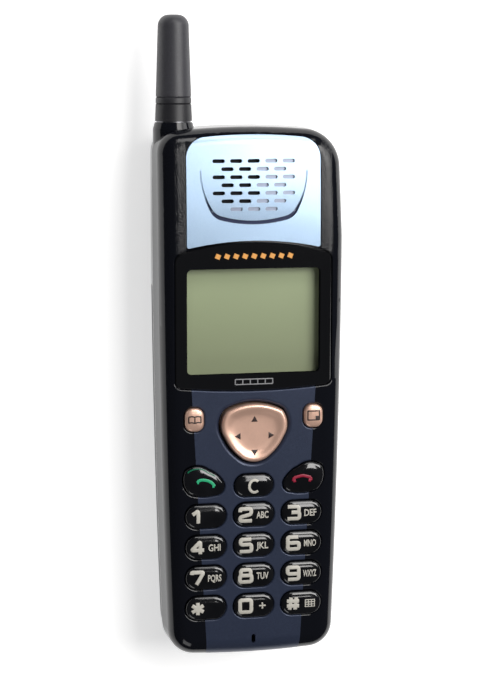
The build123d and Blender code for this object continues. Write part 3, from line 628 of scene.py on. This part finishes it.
# ---- keys (all in millimetres) ------------------------------------------------------------
wall_top = 0.85             # from a key's highest point down to where its wall ends
wall_foot = 0.3             # from a key's lowest point up to where its wall starts
nav_wall_top = 0.9
ink = 0.12                  # height of the printed figures
fine_ink = 0.06
ink_clearance = 0.012       # between a printed figure and the key under it
icon_width = 0.34
figure_width = 1.0
handset_width = 0.78
arrow_reach = 4.1
arrow_radius = 0.98
glyphs = {
    "1": [[(0.12, 0.70), (0.55, 0.98), (0.55, 0.02)]],
    "2": [[(0.06, 0.74), (0.06, 0.97), (0.92, 0.97), (0.92, 0.56), (0.06, 0.34), (0.06, 0.03),
           (0.98, 0.03)]],
    "3": [[(0.06, 0.97), (0.92, 0.97), (0.92, 0.53), (0.34, 0.53)],
          [(0.60, 0.53), (0.96, 0.53), (0.96, 0.03), (0.04, 0.03)]],
    "4": [[(0.70, 0.02), (0.70, 0.98), (0.02, 0.32), (1.0, 0.32)]],
    "5": [[(0.94, 0.97), (0.10, 0.97), (0.10, 0.58), (0.94, 0.58), (0.94, 0.03), (0.04, 0.03)]],
    "6": [[(0.90, 0.97), (0.06, 0.97), (0.06, 0.03), (0.94, 0.03), (0.94, 0.53), (0.10, 0.53)]],
    "7": [[(0.04, 0.80), (0.04, 0.97), (0.96, 0.97), (0.40, 0.02)]],
    "8": [[(0.50, 0.97), (0.12, 0.97), (0.12, 0.54), (0.88, 0.54), (0.88, 0.97), (0.50, 0.97)],
          [(0.50, 0.54), (0.04, 0.54), (0.04, 0.03), (0.96, 0.03), (0.96, 0.54), (0.50, 0.54)]],
    "9": [[(0.10, 0.03), (0.94, 0.03), (0.94, 0.97), (0.06, 0.97), (0.06, 0.47), (0.90, 0.47)]],
    "0": [[(0.50, 0.97), (0.06, 0.97), (0.06, 0.03), (0.94, 0.03), (0.94, 0.97), (0.50, 0.97)]],
    "star": [[(0.50, 0.98), (0.50, 0.02)], [(0.06, 0.76), (0.94, 0.24)], [(0.94, 0.76), (0.06, 0.24)]],
    "hash": [[(0.34, 0.98), (0.24, 0.02)], [(0.76, 0.98), (0.66, 0.02)],
             [(0.02, 0.69), (0.98, 0.69)], [(0.02, 0.31), (0.98, 0.31)]],
    "clear": [[(0.5 + 0.5 * math.cos(math.radians(turn)), 0.5 + 0.5 * math.sin(math.radians(turn)))
               for turn in range(48, 313, 12)]],
}
square = [(0.5, 1.0), (0.0, 1.0), (0.0, 0.0), (1.0, 0.0), (1.0, 1.0), (0.5, 1.0)]
book_icon = [[(0.5, 0.18), (0.5, 0.92)],
             [(0.5, 0.92), (0.25, 1.0), (0.0, 0.92), (0.0, 0.12), (0.25, 0.2), (0.5, 0.08), (0.75, 0.2),
              (1.0, 0.12), (1.0, 0.92), (0.75, 1.0), (0.5, 0.92)]]
memo_icon = [square] + [[(0.66, level), (0.96, level)] for level in (0.08, 0.18, 0.28, 0.38)]
small_print = {"2": "ABC", "3": "DEF", "4": "GHI", "5": "JKL", "6": "MNO", "7": "PQRS", "8": "TUV",
               "9": "WXYZ", "0": "+"}
key_crown = dome(0.95, 0.62, 7) + [(0.35, 0.09), (0.45, 0.07), (0.5, 0.04), (0.4, 0.02)]
gold_crown = dome(0.8, 0.72, 7) + [(0.3, 0.05), (0.4, 0.04), (0.5, 0.02)]
nav_crown = dome(0.75, 0.88, 7) + [(0.35, -0.01), (0.45, -0.09), (0.5, -0.16), (0.5, -0.13), (0.6, -0.06),
                                   (0.9, -0.03), (1.2, -0.01)]


def centre_of(node):
    """Plan centre of a CAD piece, in millimetres"""
    low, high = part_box(node)
    return ((low.x + high.x) / 2 / MM, (low.y + high.y) / 2 / MM)


def legend(piece, support, name, node, material):
    """Lay a legend on its key and let it travel with it"""
    laid_on(piece, support, ink_clearance)
    only(piece)
    bpy.ops.object.shade_smooth()
    finish_piece(piece, name, material, node)


def key_cap(node, crown, material, radial=False):
    """A finished cap in place of a CAD key"""
    low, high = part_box(node)
    centre = centre_of(node) if radial else None
    piece = cap(node, high.z - wall_top * MM, low.z + wall_foot * MM, crown, centre)
    return finish_piece(piece, node + "_cap", material, node, [node])


def outline_arc(node, level, inward, start, stop):
    """Points just inside a key's outline between two angles about its centre, in millimetres"""
    cx, cy = centre_of(node)
    picked = []
    for point in rim_of(node, level, 96):
        away = Vector((point.x / MM - cx, point.y / MM - cy))
        angle = math.degrees(math.atan2(away.y, away.x)) % 360
        if start < angle < stop:
            picked.append((angle, away * (1 - inward / away.length)))
    return [(cx + spot.x, cy + spot.y) for angle, spot in sorted(picked, key=lambda p: p[0])]


for node in [name for name in nodes if name.startswith("key_")]:
    sign = node.removeprefix("key_")
    x, y = centre_of(node)
    if sign in ("book", "memo"):
        top = key_cap(node, gold_crown, key_gold)
        if sign == "book":
            icon, icon_lift, icon_size, corner = book_icon, 0.1, (3.1, 1.9), 0.05
        else:
            icon, icon_lift, icon_size, corner = memo_icon, 0.2, (3.0, 2.3), 0.02
        drawing = stroke_mesh(icon, icon_width, fine_ink, (x, y + icon_lift), icon_size, corner)
        legend(drawing, top, node + "_icon", node, legend_dark)
        continue
    top = key_cap(node, key_crown, key_black, radial=sign in ("send", "end"))
    if sign in glyphs and sign != "clear":
        figure = stroke_mesh(glyphs[sign], figure_width, ink, (x - 2.25, y + 0.1), (3.3, 3.35))
        legend(figure, top, node + "_figure", node, legend_white)
    if sign == "clear":
        figure = stroke_mesh(glyphs[sign], 0.72, ink, (x, y - 0.1), (2.7, 3.2), 0.0)
        legend(figure, top, node + "_figure", node, legend_white)
    if sign == "send":
        receiver = [[(0.0, 0.66), (0.08, 0.88), (0.30, 0.97), (0.62, 0.84), (0.88, 0.52), (1.0, 0.10)],
                    [(0.0, 0.66), (0.10, 0.64)], [(1.0, 0.10), (0.88, 0.12)]]
        figure = stroke_mesh(receiver, handset_width, ink, (x + 0.35, y - 0.35), (4.4, 2.1))
        legend(figure, top, node + "_figure", node, legend_green)
        # painted glow: a dim green line just inside the send key's upper outline
        edge = [outline_arc(node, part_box(node)[1].z - wall_top * MM, 0.62, 25, 150)]
        rim_glow_line = stroke_mesh(edge, icon_width, fine_ink, (0, 0), (1, 1), 0.0, drawn=False)
        legend(rim_glow_line, top, node + "_rim_line", node, painted_green_glow)
    if sign == "end":
        receiver = [[(0.0, 0.18), (0.03, 0.62), (0.5, 0.92), (0.97, 0.62), (1.0, 0.18)],
                    [(0.0, 0.18), (0.14, 0.24)], [(1.0, 0.18), (0.86, 0.24)]]
        figure = stroke_mesh(receiver, handset_width, ink, (x - 0.5, y - 0.1), (4.6, 1.9))
        legend(figure, top, node + "_figure", node, legend_red)
    if sign in small_print:
        tall = 2.3 if sign == "0" else 1.75
        wide = {1: 1.7, 3: 3.15, 4: 3.5}[len(small_print[sign])]
        letters = text_mesh(small_print[sign], tall, (x + 2.1, y - 0.1), 0.05, wide)
        legend(letters, top, node + "_letters", node, legend_white)
    if sign == "hash":
        shares = (0.05, 0.35, 0.65, 0.95)
        grid = [[(0.0, a), (1.0, a)] for a in shares] + [[(a, 0.0), (a, 1.0)] for a in shares]
        figure = stroke_mesh(grid, 0.24, fine_ink, (x + 2.2, y), (2.7, 2.0), 0.0)
        legend(figure, top, node + "_grid", node, legend_white)

# The four-way key: a raised rim round a shallow dish, with four small arrows
nav_x, nav_y = centre_of("nav_key")
low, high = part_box("nav_key")
nav = cap("nav_key", high.z - nav_wall_top * MM, low.z + wall_foot * MM, nav_crown, (nav_x, nav_y), 128)
finish_piece(nav, "nav_key_cap", key_gold, "nav_key", ["nav_key"])
for turn, name in enumerate(("right", "up", "left", "down")):
    angle = turn * math.pi / 2
    reach = Vector((math.cos(angle), math.sin(angle))) * arrow_reach
    deselect()
    bpy.ops.mesh.primitive_cylinder_add(vertices=3, radius=arrow_radius * MM, depth=0.06 * MM,
                                        rotation=(0, 0, angle - math.pi / 2),
                                        location=((nav_x + reach.x) * MM, (nav_y - 0.7 + reach.y) * MM, 0))
    arrow = bpy.context.object
    bpy.ops.object.transform_apply(location=True, rotation=True, scale=True)
    finely_cut(arrow, 0.25)
    legend(arrow, nav, "nav_arrow_" + name, "nav_key", legend_dark)

# ---- printing on the display lens ------------------------------------------------------------
lens_top = nodes["display_lens"]
bar_count = 9
bar_pitch = 2.3
bar_start = -9.2
bar_level = 35.75
for count in range(bar_count):
    place = (bar_start + bar_pitch * count, bar_level)
    bar = stroke_mesh([[(0.25, 0.0), (0.75, 1.0)]], 1.35, 0.04, place, (0.9, 1.1), 0.0)
    legend(bar, lens_top, "lens_gold_bar_" + str(count + 1), "handset", legend_gold)
frame_line = [square] + [[(part, 0.05), (part, 0.95)] for part in (0.2, 0.4, 0.6, 0.8)]
ladder = stroke_mesh(frame_line, 0.28, 0.04, (0, 4.05), (9.6, 1.3), 0.04)
legend(ladder, lens_top, "lens_grey_ladder", "handset", legend_grey)

# ---- camera, floor and light ------------------------------------------------------------------
right = Vector((0.98071, 0.00104, 0.19546))
up = Vector((0.02847, 0.98857, -0.14806))
back = Vector((-0.19338, 0.15077, 0.96947))
eye = Vector((-90.67, 82.86, 461.46)) * MM
lens = bpy.data.cameras.new("camera")
lens.lens = 95.575
lens.sensor_width = 36.0
lens.clip_start = 0.01
camera = bpy.data.objects.new("camera", lens)
camera.matrix_world = Matrix((right, up, back)).transposed().to_4x4()
camera.matrix_world.translation = eye
bpy.context.scene.collection.objects.link(camera)
bpy.context.scene.camera = camera

deselect()
bpy.ops.mesh.primitive_plane_add(size=6.0, location=(0, 0, cad_box[0].z - 0.0002))
floor = bpy.context.object
floor.name = "floor"
pale = Finish("pale_floor", base_color=(0.86, 0.86, 0.86), roughness=0.9, specular_ior_level=0.1)
pale.shader.inputs["Emission Color"].default_value = (1, 1, 1, 1)
pale.shader.inputs["Emission Strength"].default_value = 0.6
floor.data.materials.append(pale.material)


def softbox(name, place, aim, size, power, shade=(1, 1, 1)):
    """A rectangular area light aimed at a point, in metres and watts"""
    lamp = bpy.data.lights.new(name, "AREA")
    lamp.shape = "RECTANGLE"
    lamp.size, lamp.size_y = size
    lamp.energy = power
    lamp.color = shade
    light = bpy.data.objects.new(name, lamp)
    light.location = place
    light.rotation_euler = (Vector(aim) - Vector(place)).to_track_quat("-Z", "Y").to_euler()
    bpy.context.scene.collection.objects.link(light)


softbox("window_light", (0.60, 0.36, 0.95), (0.60, 0.36, 0), (0.84, 0.66), 13.5, (1.0, 0.985, 0.97))
softbox("head_light", (0.25, 1.15, 0.85), (0.0, 0.0, 0), (0.9, 0.5), 6.0, (1.0, 0.99, 0.98))
softbox("right_strip", (0.95, 0.55, 0.62), (0.0, 0.05, 0), (0.22, 0.7), 1.6)
softbox("far_fill", (-0.5, -1.6, 1.2), (0, 0, 0), (0.8, 0.8), 4.0)
world = bpy.data.worlds.new("studio")
bpy.context.scene.world = world
world.use_nodes = True
world.node_tree.nodes["Background"].inputs[0].default_value = (0.9, 0.93, 1.0, 1)
world.node_tree.nodes["Background"].inputs[1].default_value = 0.05
bpy.context.scene.view_settings.view_transform = "Standard"
